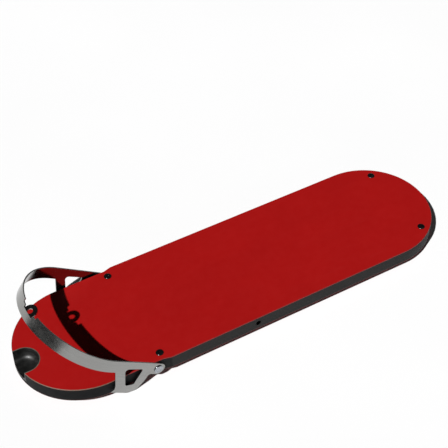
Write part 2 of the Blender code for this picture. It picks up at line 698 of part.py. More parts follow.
def make_pivots(mats):
    """What holds the bail to the board: washer, bolt, cap and threaded block on each side."""
    axis = (PIVOT_X, 0, PIVOT_Z)
    washer_high = ARM_INNER - 2 * GAP - BUSH_FLANGE
    head_low = HOOP_HALF_WIDTH + GAP
    block_bore = block_corners(1, 0.0)[0][1] + 0.004
    for name, side in SIDES.items():
        way = (0, side, 0)
        bm = bmesh.new()
        add_ring(bm, WASHER_RADIUS, BOLT_RADIUS + GAP, FRONT_HALF + GAP, washer_high, axis, way)
        add_object(f"pivot_washer_{name}", bm, mats["pivot_washer"])
        top = head_low + HEAD_HEIGHT
        turned(f"pivot_bolt_{name}",
               [(BOLT_RADIUS, block_bore + 0.001), (BOLT_RADIUS, head_low),
                (HEAD_RADIUS, head_low), (HEAD_RADIUS, top), (0.005, top),
                (0.005, top - 0.0012)], axis, way, mats["pivot_bolt"])
        cap_low, cap_high = head_low, head_low + CAP_HEIGHT
        pocket = HEAD_RADIUS + GAP
        turned(f"pivot_cap_{name}",
               [(pocket, cap_low + HEAD_HEIGHT + GAP), (pocket, cap_low),
                (CAP_RADIUS, cap_low), (CAP_RADIUS, cap_high - 0.0008),
                (CAP_RADIUS - 0.0012, cap_high)], axis, way, mats["pivot_cap"], 40)
        bm = bmesh.new()
        add_box(bm, *block_corners(side, 0.0))
        block = add_object(f"pivot_block_{name}", bm, mats["pivot_block"])
        cut(block, cutter(f"cut_block_{name}", lambda bm: add_turned(
            bm, [(BOLT_RADIUS + GAP, block_bore), (BOLT_RADIUS + GAP, 0.30)], axis, way, 24)))


def main():
    """Build every piece."""
    clear_scene()
    mats = make_materials()
    make_panels(mats)
    make_rims(mats)
    make_dowels(mats)
    make_core(mats)
    make_stiffeners(mats)
    make_recess_cup(mats)
    make_deck_screws(mats)
    make_side_sockets(mats)
    make_runners(mats)
    make_bail(mats)
    make_pivots(mats)


main()
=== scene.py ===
"""Rigid rescue board with a swinging strip-steel bail: pieces, finishes, light and camera.

Metres, +Z up, +X towards the plain rear end, near side at -Y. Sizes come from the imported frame.
"""
import logging
import math
from dataclasses import dataclass
from enum import Enum
from typing import Callable, Iterable, Sequence

import bpy
from mathutils import Matrix, Vector


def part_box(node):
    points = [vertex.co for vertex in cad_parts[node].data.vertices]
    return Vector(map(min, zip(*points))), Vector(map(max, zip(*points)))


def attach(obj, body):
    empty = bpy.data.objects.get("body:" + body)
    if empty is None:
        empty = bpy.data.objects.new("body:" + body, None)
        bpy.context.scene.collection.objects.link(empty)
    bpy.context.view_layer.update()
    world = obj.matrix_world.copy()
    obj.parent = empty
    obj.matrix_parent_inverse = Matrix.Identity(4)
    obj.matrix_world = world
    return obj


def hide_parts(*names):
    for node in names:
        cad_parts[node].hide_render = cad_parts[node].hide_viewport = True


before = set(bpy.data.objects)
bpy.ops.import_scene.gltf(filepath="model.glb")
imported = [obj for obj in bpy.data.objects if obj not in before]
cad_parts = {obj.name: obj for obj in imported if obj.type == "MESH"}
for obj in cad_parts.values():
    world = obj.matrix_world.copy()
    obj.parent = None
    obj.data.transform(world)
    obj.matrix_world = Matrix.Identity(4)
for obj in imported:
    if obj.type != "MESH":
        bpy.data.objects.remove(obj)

LOG = logging.getLogger("rescue_board")
BOARD_BODY = "board"
BAIL_BODY = "bail"
PIECE_WELD = 1e-6        # a new piece's vertices nearer than this are one
NODE_WELD = 1e-5         # the same for a copied node
FLAT_DEG = 0.8           # faces that turn by less than this become one
SMOOTH_MARGIN_DEG = 15.0  # how far past the rounded edges smooth shading reaches
NORMAL_WEIGHT = 80
HINGE_X, HINGE_Z = -0.4575, 0.0615
Triple = tuple[float, float, float]
Colour = Triple
UNSCALED: Triple = (1.0, 1.0, 1.0)
Socket = bpy.types.NodeSocket
Piece = bpy.types.Object


class Side(Enum):
    """The two long sides of the board, by the direction along Y that each one faces."""

    NEAR = -1
    FAR = 1

    @property
    def label(self) -> str:
        """The word that node names use for this side."""
        return self.name.lower()


class Grain(Enum):
    """What a material's pattern follows."""

    OBJECT = "Object"
    STRIP = "UV"


# ---- modelling moves ------------------------------------------------------------------------
def pick(piece: Piece) -> None:
    """Make one piece the only selected and active one.

    Args:
        piece: The object to work on.
    """
    if bpy.context.mode != "OBJECT":
        bpy.ops.object.mode_set(mode="OBJECT")
    bpy.ops.object.select_all(action="DESELECT")
    bpy.context.view_layer.objects.active = piece
    piece.select_set(True)


def open_edit(piece: Piece, keep: Callable[[Vector, Vector], bool] | None = None) -> None:
    """Enter edit mode with all faces, or the faces that a test keeps, selected.

    Args:
        piece: The object to edit.
        keep: Test of a face's centre and normal, or None for every face.
    """
    pick(piece)
    bpy.ops.object.mode_set(mode="EDIT")
    bpy.ops.mesh.select_mode(type="FACE")
    bpy.ops.mesh.select_all(action="SELECT" if keep is None else "DESELECT")
    if keep is not None:
        bpy.ops.object.mode_set(mode="OBJECT")
        for face in piece.data.polygons:
            face.select = keep(face.center, face.normal)
        bpy.ops.object.mode_set(mode="EDIT")


def close_edit() -> None:
    """Leave edit mode."""
    bpy.ops.object.mode_set(mode="OBJECT")


def settle(piece: Piece) -> None:
    """Put a piece's place in its mesh, merge its doubles and turn its faces outwards.

    Args:
        piece: The object to settle.
    """
    pick(piece)
    bpy.ops.object.transform_apply(location=True, rotation=True, scale=True)
    open_edit(piece)
    bpy.ops.mesh.remove_doubles(threshold=PIECE_WELD)
    bpy.ops.mesh.normals_make_consistent(inside=False)
    close_edit()


def apply_modifier(piece: Piece, kind: str, **settings: object) -> None:
    """Add a modifier, set it and apply it.

    Args:
        piece: The object to change.
        kind: The modifier's type.
        **settings: Its properties.
    """
    pick(piece)
    modifier = piece.modifiers.new(kind.lower(), kind)
    for key, value in settings.items():
        setattr(modifier, key, value)
    bpy.ops.object.modifier_apply(modifier=modifier.name)


def boolean(piece: Piece, tool: Piece, operation: str = "DIFFERENCE") -> None:
    """Apply an exact Boolean and delete its tool.

    Args:
        piece: The object to change.
        tool: The object that cuts, joins or keeps.
        operation: DIFFERENCE, UNION or INTERSECT.
    """
    apply_modifier(piece, "BOOLEAN", operation=operation, solver="EXACT", object=tool)
    bpy.data.objects.remove(tool, do_unlink=True)


def soften(piece: Piece, width: float, segments: int = 2, sharp_deg: float = 30.0,
           edge_slot: int = 0) -> None:
    """Round the sharp edges, weight the normals and shade the piece smooth.

    Args:
        piece: The object to finish.
        width: Width of the rounding in metres.
        segments: Facets across the rounding.
        sharp_deg: Edges that turn by more than this are rounded.
        edge_slot: Material slot that the rounded edges take.
    """
    apply_modifier(piece, "BEVEL", width=width, segments=segments, limit_method="ANGLE",
                   angle_limit=math.radians(sharp_deg), use_clamp_overlap=True,
                   material=edge_slot, miter_outer="MITER_ARC")
    pick(piece)
    bpy.ops.object.shade_smooth_by_angle(angle=math.radians(sharp_deg + SMOOTH_MARGIN_DEG))
    apply_modifier(piece, "WEIGHTED_NORMAL", keep_sharp=True, weight=NORMAL_WEIGHT)


def merged_copy(node: str, name: str) -> Piece:
    """A new piece with a merged, cleaned copy of a CAD node's mesh.

    Args:
        node: The CAD node's name.
        name: Name of the new piece.

    Returns:
        The new object, with no materials.
    """
    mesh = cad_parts[node].data.copy()
    mesh.name = name
    mesh.materials.clear()
    piece = bpy.data.objects.new(name, mesh)
    bpy.context.collection.objects.link(piece)
    open_edit(piece)
    bpy.ops.mesh.remove_doubles(threshold=NODE_WELD)
    bpy.ops.mesh.dissolve_limited(angle_limit=math.radians(FLAT_DEG), delimit=set())
    close_edit()
    for attribute in [a.name for a in mesh.attributes if a.name == "custom_normal"]:
        mesh.attributes.remove(mesh.attributes[attribute])
    return piece


def lathe(name: str, rings: Sequence[tuple[float, float]], steps: int = 48) -> Piece:
    """A solid about +Z, raised from a disc by extruding and scaling its top face.

    Args:
        name: Name of the new object.
        rings: Radius and height of each ring, from the first disc upwards.
        steps: Sides of the disc.

    Returns:
        The new object, centred on the Z axis.
    """
    radius, height = rings[0]
    bpy.ops.object.select_all(action="DESELECT")
    bpy.ops.mesh.primitive_circle_add(vertices=steps, radius=radius, fill_type="NGON",
                                      location=(0.0, 0.0, height))
    piece = bpy.context.active_object
    piece.name = name
    open_edit(piece)
    for wide, high in rings[1:]:
        bpy.ops.mesh.extrude_region_move(
            TRANSFORM_OT_translate={"value": (0.0, 0.0, high - height)})
        bpy.ops.transform.resize(value=(wide / radius, wide / radius, 1.0),
                                 center_override=(0.0, 0.0, high))
        radius, height = wide, high
    close_edit()
    settle(piece)
    return piece


def place_turned(piece: Piece, centre: Vector, way: Side) -> None:
    """Turn a piece built about +Z so that it faces one side, and move it.

    Args:
        piece: The object, built about +Z.
        centre: Where its origin goes.
        way: The side it faces.
    """
    piece.rotation_euler = (math.radians(-90.0 * way.value), 0.0, 0.0)
    piece.location = centre
    settle(piece)


def copy_at(piece: Piece, name: str, move: Vector) -> Piece:
    """Copy a piece with a mesh of its own.

    Args:
        piece: The piece that is repeated.
        name: Name of the copy.
        move: How far the copy lies from it.

    Returns:
        The copy.
    """
    twin = bpy.data.objects.new(name, piece.data.copy())
    bpy.context.collection.objects.link(twin)
    twin.data.transform(Matrix.Translation(move))
    return twin


def hand_over(piece: Piece, body: str, nodes: Iterable[str],
              finishes: Sequence[bpy.types.Material]) -> None:
    """Dress a finished piece and tie it to the frame.

    Args:
        piece: The finished object.
        body: The CAD body that it rides on.
        nodes: CAD nodes that it stands for.
        finishes: Its materials, by slot order.
    """
    while len(piece.data.materials) < len(finishes):
        piece.data.materials.append(None)
    for index, finish in enumerate(finishes):
        piece.data.materials[index] = finish
    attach(piece, body)
    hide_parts(*nodes)
    LOG.info("piece %s rides on %s", piece.name, body)


def paint_slots(piece: Piece, count: int, second: Callable[[Vector, Vector], bool]) -> None:
    """Give a piece empty material slots and put some faces in the second one.

    Args:
        piece: The object.
        count: How many slots it gets.
        second: Test of a face's centre and normal for the second slot.
    """
    while len(piece.data.materials) < count:
        piece.data.materials.append(None)
    for face in piece.data.polygons:
        face.material_index = int(second(face.center, face.normal))


def dress_node(node: str, finish: bpy.types.Material) -> None:
    """Give a CAD node that stays its finish.

    Args:
        node: The CAD node's name.
        finish: The material for all of it.
    """
    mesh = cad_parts[node].data
    for index in range(len(mesh.materials)):
        mesh.materials[index] = finish
    if not mesh.materials:
        mesh.materials.append(finish)


# ---- material nodes -------------------------------------------------------------------------
class Recipe:
    """Lays out one material's nodes."""

    def __init__(self, name: str) -> None:
        """Start a material with a bare shader.

        Args:
            name: The material's name.
        """
        self.material = bpy.data.materials.new(name)
        self.material.use_nodes = True
        self.tree = self.material.node_tree
        self.shader = self.tree.nodes["Principled BSDF"]

    def add(self, kind: str, **settings: object) -> bpy.types.Node:
        """Add a node.

        Args:
            kind: The node's type name without its prefix.
            **settings: Its properties.

        Returns:
            The node.
        """
        node = self.tree.nodes.new(f"ShaderNode{kind}")
        for key, value in settings.items():
            setattr(node, key, value)
        return node

    def link(self, source: Socket, target: Socket) -> None:
        """Join two sockets."""
        self.tree.links.new(source, target)

    def fixed(self, **values: float) -> None:
        """Set constant shader inputs; an underscore in a name stands for a space.

        Args:
            **values: Input names and their values.
        """
        for key, value in values.items():
            self.shader.inputs[key.replace("_", " ")].default_value = value

    def place(self, scale: Triple = UNSCALED, grain: Grain = Grain.OBJECT,
              move: Triple = (0.0, 0.0, 0.0)) -> Socket:
        """Pattern coordinates, scaled and moved.

        Args:
            scale: Scale along each axis.
            grain: What the pattern follows.
            move: Offset added after scaling.

        Returns:
            The mapped coordinate.
        """
        source = self.add("TexCoord")
        mapping = self.add("Mapping")
        mapping.inputs["Scale"].default_value = scale
        mapping.inputs["Location"].default_value = move
        self.link(source.outputs[grain.value], mapping.inputs["Vector"])
        return mapping.outputs["Vector"]

    def noise(self, where: Socket, scale: float, detail: float = 3.0,
              rough: float = 0.5) -> Socket:
        """Fractal noise.

        Args:
            where: Coordinates.
            scale: Features per metre.
            detail: Octaves.
            rough: How strong the fine octaves are.

        Returns:
            The noise, about 0.5 on average.
        """
        node = self.add("TexNoise")
        node.inputs["Scale"].default_value = scale
        node.inputs["Detail"].default_value = detail
        node.inputs["Roughness"].default_value = rough
        self.link(where, node.inputs["Vector"])
        return node.outputs["Fac"]

    def cells(self, where: Socket, scale: float, feature: str = "F1") -> Socket:
        """Distance field of scattered cells.

        Args:
            where: Coordinates.
            scale: Cells per metre.
            feature: Which distance is returned.

        Returns:
            The distance.
        """
        node = self.add("TexVoronoi", feature=feature)
        node.inputs["Scale"].default_value = scale
        self.link(where, node.inputs["Vector"])
        return node.outputs["Distance"]

    def rings(self, where: Socket, scale: float, axis: str = "Y") -> Socket:
        """Concentric turning marks.

        Args:
            where: Coordinates centred on the turning axis.
            scale: Rings per metre, before the wave's own factor.
            axis: The turning axis.

        Returns:
            The wave.
        """
        node = self.add("TexWave", wave_type="RINGS", rings_direction=axis)
        node.inputs["Scale"].default_value = scale
        node.inputs["Distortion"].default_value = 0.6
        self.link(where, node.inputs["Vector"])
        return node.outputs["Fac"]

    def span(self, source: Socket, low: float, high: float, start: float = 0.0,
             stop: float = 1.0) -> Socket:
        """Stretch a value from one range to another, clamped.

        Args:
            source: The value.
            low: Lower end of its range.
            high: Upper end.
            start: What low becomes.
            stop: What high becomes.

        Returns:
            The new value.
        """
        node = self.add("MapRange")
        for key, value in (("From Min", low), ("From Max", high), ("To Min", start),
                           ("To Max", stop)):
            node.inputs[key].default_value = value
        self.link(source, node.inputs["Value"])
        return node.outputs["Result"]

    def maths(self, operation: str, first: Socket, second: Socket | float) -> Socket:
        """Combine two values.

        Args:
            operation: The operation's name.
            first: A value.
            second: Another value or a number.

        Returns:
            The result.
        """
        node = self.add("Math", operation=operation)
        self.link(first, node.inputs[0])
        if isinstance(second, (int, float)):
            node.inputs[1].default_value = second
        else:
            self.link(second, node.inputs[1])
        return node.outputs["Value"]

    def blend(self, factor: Socket, first: Colour | Socket, second: Colour | Socket) -> Socket:
        """Mix two colours.

        Args:
            factor: How much of the second.
            first: A colour.
            second: Another colour.

        Returns:
            The mixed colour.
        """
        node = self.add("Mix", data_type="RGBA")
        self.link(factor, node.inputs["Factor"])
        for value, letter in ((first, "A"), (second, "B")):
            target = next(s for s in node.inputs if s.name == letter and s.type == "RGBA")
            if isinstance(value, tuple):
                target.default_value = (*value, 1.0)
            else:
                self.link(value, target)
        return next(s for s in node.outputs if s.type == "RGBA")

    def axis(self, letter: str) -> Socket:
        """One object coordinate in metres.

        Args:
            letter: X, Y or Z.

        Returns:
            The coordinate.
        """
        split = self.add("SeparateXYZ")
        self.link(self.place(), split.inputs["Vector"])
        return split.outputs[letter]

    def relief(self, *layers: tuple[Socket, float]) -> None:
        """Stack bumps on the shader's normal.

        Args:
            *layers: Height value and its depth in metres, coarse first.
        """
        normal = None
        for height, depth in layers:
            bump = self.add("Bump")
            bump.inputs["Distance"].default_value = depth
            self.link(height, bump.inputs["Height"])
            if normal is not None:
                self.link(normal, bump.inputs["Normal"])
            normal = bump.outputs["Normal"]
        self.link(normal, self.shader.inputs["Normal"])

    def colour(self, source: Socket) -> None:
        """Feed the base colour."""
        self.link(source, self.shader.inputs["Base Color"])

    def roughness(self, source: Socket) -> None:
        """Feed the roughness."""
        self.link(source, self.shader.inputs["Roughness"])


@dataclass(frozen=True)
class SkinFinish:
    """Satin red laminate with a fine orange peel, cloudy tone and light drag marks."""

    name: str
    tone: Colour
    shade: Colour
    scuff: Colour
    wear: float
    roughness: float
    specular: float = 0.30
    cloud_scale: float = 4.5
    mottle_scale: float = 38.0
    drag_scale: Triple = (5.0, 420.0, 60.0)
    peel_scale: float = 420.0
    cloud_depth: float = 0.0006
    peel_depth: float = 0.00006
    mark_depth: float = 0.00005

    def make(self) -> bpy.types.Material:
        """Return the material."""
        recipe = Recipe(self.name)
        cloud = recipe.noise(recipe.place((1.0, 1.6, 1.0)), self.cloud_scale, 4.0, 0.55)
        mottle = recipe.noise(recipe.place(), self.mottle_scale, 3.0)
        tone = recipe.maths("ADD", recipe.span(cloud, 0.3, 0.7, 0.0, 0.7),
                            recipe.span(mottle, 0.3, 0.7, 0.0, 0.3))
        base = recipe.blend(tone, self.shade, self.tone)
        drag = recipe.noise(recipe.place(self.drag_scale), 1.0, 6.0, 0.62)
        where = recipe.noise(recipe.place(), 3.1, 2.0)
        mark = recipe.maths("MULTIPLY", recipe.span(drag, 0.60, 0.78, 0.0, self.wear),
                            recipe.span(where, 0.48, 0.66))
        recipe.colour(recipe.blend(mark, base, self.scuff))
        gloss = recipe.maths("ADD", recipe.span(mottle, 0.25, 0.75, self.roughness - 0.04,
                                                self.roughness + 0.05), mark)
        recipe.roughness(gloss)
        peel = recipe.noise(recipe.place(), self.peel_scale, 2.0)
        recipe.relief((cloud, self.cloud_depth), (peel, self.peel_depth),
                      (mark, self.mark_depth))
        recipe.fixed(Specular_IOR_Level=self.specular)
        return recipe.material


@dataclass(frozen=True)
class SkinEdgeFinish:
    """Cut edge of a skin: red, with its tan core colour painted round the nose as a highlight
    where the edge catches the light.
    """

    name: str
    red: Colour
    core: Colour
    # X span round the nose where the edge shows its core colour as painted light.
    painted_light_from_x: float
    painted_light_to_x: float
    fleck_scale: float = 160.0
    fleck_depth: float = 0.00015

    def make(self) -> bpy.types.Material:
        """Return the material."""
        recipe = Recipe(self.name)
        fleck = recipe.noise(recipe.place(), self.fleck_scale, 4.0, 0.6)
        along = recipe.span(recipe.axis("X"), self.painted_light_to_x, self.painted_light_from_x, 1.0, 0.0)
        # Painted highlight mask: the tan core shows only round the nose, where the deck edge
        # catches the key light; the tan itself is the laminate core's colour.
        bare = recipe.maths("MULTIPLY", along, recipe.span(fleck, 0.30, 0.55, 0.35, 1.0))
        recipe.colour(recipe.blend(bare, self.red, self.core))
        recipe.roughness(recipe.span(fleck, 0.3, 0.7, 0.42, 0.66))
        recipe.relief((fleck, self.fleck_depth))
        return recipe.material


@dataclass(frozen=True)
class RimFinish:
    """Pebbled charcoal moulding with dusty hollows and rubbed high spots."""

    name: str
    tone: Colour
    dust: Colour
    dusty: float
    roughness: float
    specular: float = 0.16
    pebble: float = 900.0
    nose_tone: Colour = (0.0030, 0.0032, 0.0036)
    nose_from_x: float = -0.3985
    nose_fade: float = 0.0005
    patch_scale: float = 22.0
    streak_scale: Triple = (7.0, 7.0, 90.0)
    relief_depth: float = 0.00012

    def make(self) -> bpy.types.Material:
        """Return the material."""
        recipe = Recipe(self.name)
        where = recipe.place()
        nose = recipe.span(recipe.axis("X"), self.nose_from_x - self.nose_fade, self.nose_from_x,
                           1.0, 0.0)
        pebble = recipe.cells(where, self.pebble, "SMOOTH_F1")
        patch = recipe.noise(where, self.patch_scale, 5.0, 0.6)
        streak = recipe.noise(recipe.place(self.streak_scale), 1.0, 4.0, 0.55)
        cover = recipe.maths("MULTIPLY", recipe.span(patch, 0.35, 0.70, 0.0, self.dusty),
                             recipe.span(streak, 0.3, 0.7, 0.35, 1.0))
        recipe.colour(recipe.blend(nose, recipe.blend(cover, self.tone, self.dust),
                                   recipe.blend(cover, self.nose_tone, self.tone)))
        recipe.roughness(recipe.span(patch, 0.3, 0.7, self.roughness - 0.06,
                                     self.roughness + 0.10))
        recipe.relief((streak, self.relief_depth), (pebble, self.relief_depth))
        recipe.fixed(Specular_IOR_Level=self.specular)
        return recipe.material


@dataclass(frozen=True)
class BrushedFinish:
    """Stainless sheet brushed along its length, with faint handling smears."""

    name: str
    tone: Colour
    shade: Colour
    roughness: float
    anisotropy: float

    def make(self) -> bpy.types.Material:
        """Return the material."""
        recipe = Recipe(self.name)
        fine = recipe.noise(recipe.place((14.0, 2600.0, 1.0), Grain.STRIP), 1.0, 4.0, 0.7)
        broad = recipe.noise(recipe.place((3.0, 380.0, 1.0), Grain.STRIP), 1.0, 3.0, 0.55)
        smear = recipe.noise(recipe.place(), 18.0, 5.0, 0.6)
        streak = recipe.maths("ADD", recipe.span(fine, 0.3, 0.7, 0.0, 0.6),
                              recipe.span(broad, 0.3, 0.7, 0.0, 0.4))
        recipe.colour(recipe.blend(streak, self.shade, self.tone))
        recipe.roughness(recipe.maths("ADD", recipe.span(streak, 0.0, 1.0,
                                                         self.roughness + 0.05,
                                                         self.roughness - 0.05),
                                      recipe.span(smear, 0.45, 0.75, 0.0, 0.09)))
        recipe.relief((broad, 0.00002), (fine, 0.000012))
        tangent = recipe.add("Tangent", direction_type="UV_MAP", uv_map="strip")
        recipe.link(tangent.outputs["Tangent"], recipe.shader.inputs["Tangent"])
        recipe.fixed(Metallic=1.0, Anisotropic=self.anisotropy)
        return recipe.material


@dataclass(frozen=True)
class SteelFinish:
    """Plain or turned metal: rings about an axis, faint spotting."""

    name: str
    tone: Colour
    shade: Colour
    roughness: float
    centre: Triple = (0.0, 0.0, 0.0)
    ring_axis: str = "Y"
    ring_scale: float = 160.0
    ring_depth: float = 0.00002
    spot_scale: float = 260.0

    def make(self) -> bpy.types.Material:
        """Return the material."""
        recipe = Recipe(self.name)
        move = tuple(-value for value in self.centre)
        ring = recipe.rings(recipe.place(move=move), self.ring_scale,
                            self.ring_axis)
        spot = recipe.noise(recipe.place(), self.spot_scale, 5.0, 0.6)
        recipe.colour(recipe.blend(recipe.span(spot, 0.35, 0.65), self.shade, self.tone))
        recipe.roughness(recipe.span(spot, 0.3, 0.7, self.roughness - 0.06,
                                     self.roughness + 0.08))
        recipe.relief((ring, self.ring_depth), (spot, self.ring_depth))
        recipe.fixed(Metallic=1.0)
        return recipe.material


@dataclass(frozen=True)
class MouldedFinish:
    """Black moulded plastic: fine spark texture, soft flow clouds and rubbed places; the scoop's
    lip uses the same colours for a painted highlight.
    """

    name: str
    tone: Colour
    # The lighter colour and its amount: wear on most parts, painted highlight on the scoop's lip.
    rub_and_sheen: Colour
    roughness: float
    rubbed: float
    texture: float = 1200.0
    depth: float = 0.00003
    drag: Triple = UNSCALED
    flow_scale: float = 45.0
    flow_depth: float = 0.0002
    specular: float = 0.5

    def make(self) -> bpy.types.Material:
        """Return the material."""
        recipe = Recipe(self.name)
        where = recipe.place()
        spark = recipe.noise(where, self.texture, 2.0)
        flow = recipe.noise(recipe.place(self.drag), self.flow_scale, 5.0, 0.6)
        # The lighter mix is rubbed places, and on the scoop's lip part of a painted highlight.
        rub_and_sheen = recipe.span(flow, 0.48, 0.72, 0.0, self.rubbed)
        recipe.colour(recipe.blend(rub_and_sheen, self.tone, self.rub_and_sheen))
        recipe.roughness(recipe.span(flow, 0.3, 0.7, self.roughness - 0.06,
                                     self.roughness + 0.12))
        recipe.relief((flow, self.flow_depth), (spark, self.depth))
        recipe.fixed(Specular_IOR_Level=self.specular)
        return recipe.material


@dataclass(frozen=True)
class FoamFinish:
    """Cut closed-cell foam."""

    name: str
    tone: Colour
    hollow: Colour
    cell_scale: float
    cell_depth: float = 0.0004

    def make(self) -> bpy.types.Material:
        """Return the material."""
        recipe = Recipe(self.name)
        cell = recipe.cells(recipe.place(), self.cell_scale)
        tint = recipe.noise(recipe.place(), 12.0, 3.0)
        depth = recipe.maths("MULTIPLY", recipe.span(cell, 0.1, 0.8),
                             recipe.span(tint, 0.3, 0.7, 0.7, 1.0))
        recipe.colour(recipe.blend(depth, self.tone, self.hollow))
        recipe.roughness(recipe.span(tint, 0.3, 0.7, 0.85, 0.95))
        recipe.relief((cell, self.cell_depth))
        return recipe.material


# ---- sub-assemblies -------------------------------------------------------------------------
@dataclass
class Skins:
    """The two laminate skins, with rounded outer edges."""

    rounding: float = 0.0007
    flat_facing: float = 0.98
    deck_finish: SkinFinish = SkinFinish(
        "deck_red", (0.372, 0.0058, 0.0055), (0.338, 0.0050, 0.0048), (0.46, 0.10, 0.09),
        0.10, 0.42)
    # The base skin's dark red is painted shade for the underside lying in shadow; its drag marks
    # are wear.
    base_finish_painted_shade: SkinFinish = SkinFinish(
        "base_red_painted_shade", (0.140, 0.0045, 0.0045), (0.115, 0.0040, 0.0040), (0.42, 0.16, 0.14),
        0.45, 0.50)
    deck_edge: SkinEdgeFinish = SkinEdgeFinish(
        "deck_cut_edge", (0.230, 0.006, 0.006), (0.130, 0.085, 0.055), -0.56, -0.66)
    # The base skin's near-black cut edge is painted shade: that edge lies in shadow under the
    # board.
    base_edge_painted_shade: SkinEdgeFinish = SkinEdgeFinish(
        "base_cut_edge_painted_shade", (0.040, 0.004, 0.004), (0.030, 0.016, 0.012), -0.56, -0.66)

    def build(self) -> None:
        """Make both skins and dress them."""
        # The base skin and its cut edge get painted shade finishes.
        for name, finish, edge in (("deck", self.deck_finish, self.deck_edge),
                                   ("base", self.base_finish_painted_shade, self.base_edge_painted_shade)):
            piece = merged_copy(f"{name}_panel", f"{name}_skin")
            finishes = (finish.make(), edge.make())
            paint_slots(piece, len(finishes),
                        lambda centre, normal: abs(normal.z) < self.flat_facing)
            soften(piece, self.rounding, segments=3, sharp_deg=25.0, edge_slot=1)
            hand_over(piece, BOARD_BODY, [f"{name}_panel"], finishes)


@dataclass
class EdgeRims:
    """The moulded edge: a long rear piece and the darker front piece that the bail folds round."""

    rounding: float = 0.0009
    rear_finish: RimFinish = RimFinish("rim_charcoal", (0.0115, 0.0110, 0.0106),
                                       (0.045, 0.042, 0.040), 0.30, 0.62)
    front_finish: RimFinish = RimFinish("rim_nose_black", (0.0044, 0.0046, 0.0050),
                                        (0.015, 0.015, 0.016), 0.22, 0.55, 0.10)

    def build(self) -> None:
        """Make both rims and dress them."""
        for name, finish in (("rear", self.rear_finish), ("front", self.front_finish)):
            piece = merged_copy(f"rim_{name}", f"edge_rim_{name}")
            soften(piece, self.rounding, sharp_deg=35.0)
            hand_over(piece, BOARD_BODY, [f"rim_{name}"], (finish.make(),))


@dataclass
class HandScoop:
    """The moulded hand recess in the nose: a swept bowl, open forwards, with a light tan lip that
    is a painted highlight.
    """

    wall: float = 0.0030
    floor: float = 0.0030
    sweep: float = 0.0260
    sweep_steps: int = 14
    nose_curve: float = 0.2564
    nose_half: float = 0.24166
    lip_rounding: float = 0.0010
    lip_depth: float = 0.0005
    lip_facing: float = 0.9
    run: float = 0.08
    overshoot: float = 0.02
    steps: int = 96
    nose_steps: int = 192
    finish: MouldedFinish = MouldedFinish(
        "scoop_black", (0.0050, 0.0052, 0.0048), (0.015, 0.015, 0.014), 0.40, 0.8, 1500.0,
        0.00003, (1.0, 1.6, 2.2))
    # The lip's light tan is a painted highlight along the recess's edge.
    lip_painted_highlight: MouldedFinish = MouldedFinish(
        "scoop_lip_painted_highlight", (0.085, 0.072, 0.058), (0.160, 0.135, 0.105), 0.45, 1.0)

    def build(self) -> None:
        """Make the scoop from a swept body and a swept bowl."""
        low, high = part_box("hand_recess_cup")
        radius = high[1]
        centre_x = high[0] - radius
        body = lathe("hand_scoop", [(radius, low[2]), (radius, high[2])], self.steps)
        self.run_forward(body, centre_x)
        bowl = lathe("bowl_tool", self.bowl_rings(radius - self.wall, low[2] + self.floor,
                                                  high[2]), self.steps)
        self.run_forward(bowl, centre_x)
        boolean(body, bowl)
        reach = lathe("nose_tool", [(1.0, low[2] - self.overshoot),
                                    (1.0, high[2] + self.overshoot)], self.nose_steps)
        reach.scale = (self.nose_curve, self.nose_half, 1.0)
        reach.location.x = low[0] + self.nose_curve
        settle(reach)
        boolean(body, reach, "INTERSECT")
        settle(body)
        # The lip's top faces, and the rounded edges that soften makes, take the painted highlight.
        paint_slots(body, 2, lambda centre, normal: centre.z > high[2] - self.lip_depth
                    and normal.z > self.lip_facing)
        soften(body, self.lip_rounding, segments=3, sharp_deg=40.0, edge_slot=1)
        hand_over(body, BOARD_BODY, ["hand_recess_cup"],
                  (self.finish.make(), self.lip_painted_highlight.make()))

    def bowl_rings(self, radius: float, floor: float, top: float) -> list[tuple[float, float]]:
        """Profile of the bowl: a flat floor that sweeps up into an upright wall.

        Args:
            radius: Inside radius at the deck.
            floor: Level of the bowl's floor.
            top: Level of the deck.

        Returns:
            Radius and height of each ring.
        """
        rings = []
        for step in range(self.sweep_steps + 1):
            turn = math.radians(90.0 * step / self.sweep_steps)
            rings.append((radius - self.sweep * (1.0 - math.sin(turn)),
                          floor + self.sweep * (1.0 - math.cos(turn))))
        return rings + [(radius, top + self.overshoot / 2)]

    def run_forward(self, piece: Piece, centre_x: float) -> None:
        """Cut a turned solid in half and run its cut face out past the nose.

        Args:
            piece: The turned solid.
            centre_x: Where its axis goes.
        """
        open_edit(piece)
        bpy.ops.mesh.bisect(plane_co=(0.0, 0.0, 0.0), plane_no=(-1.0, 0.0, 0.0),
                            use_fill=True, clear_outer=True)
        close_edit()
        open_edit(piece, lambda centre, normal: normal.x < -0.99 and abs(centre.x) < 1e-4)
        bpy.ops.mesh.extrude_region_move(TRANSFORM_OT_translate={"value": (-self.run, 0.0, 0.0)})
        close_edit()
        piece.location.x = centre_x
        settle(piece)


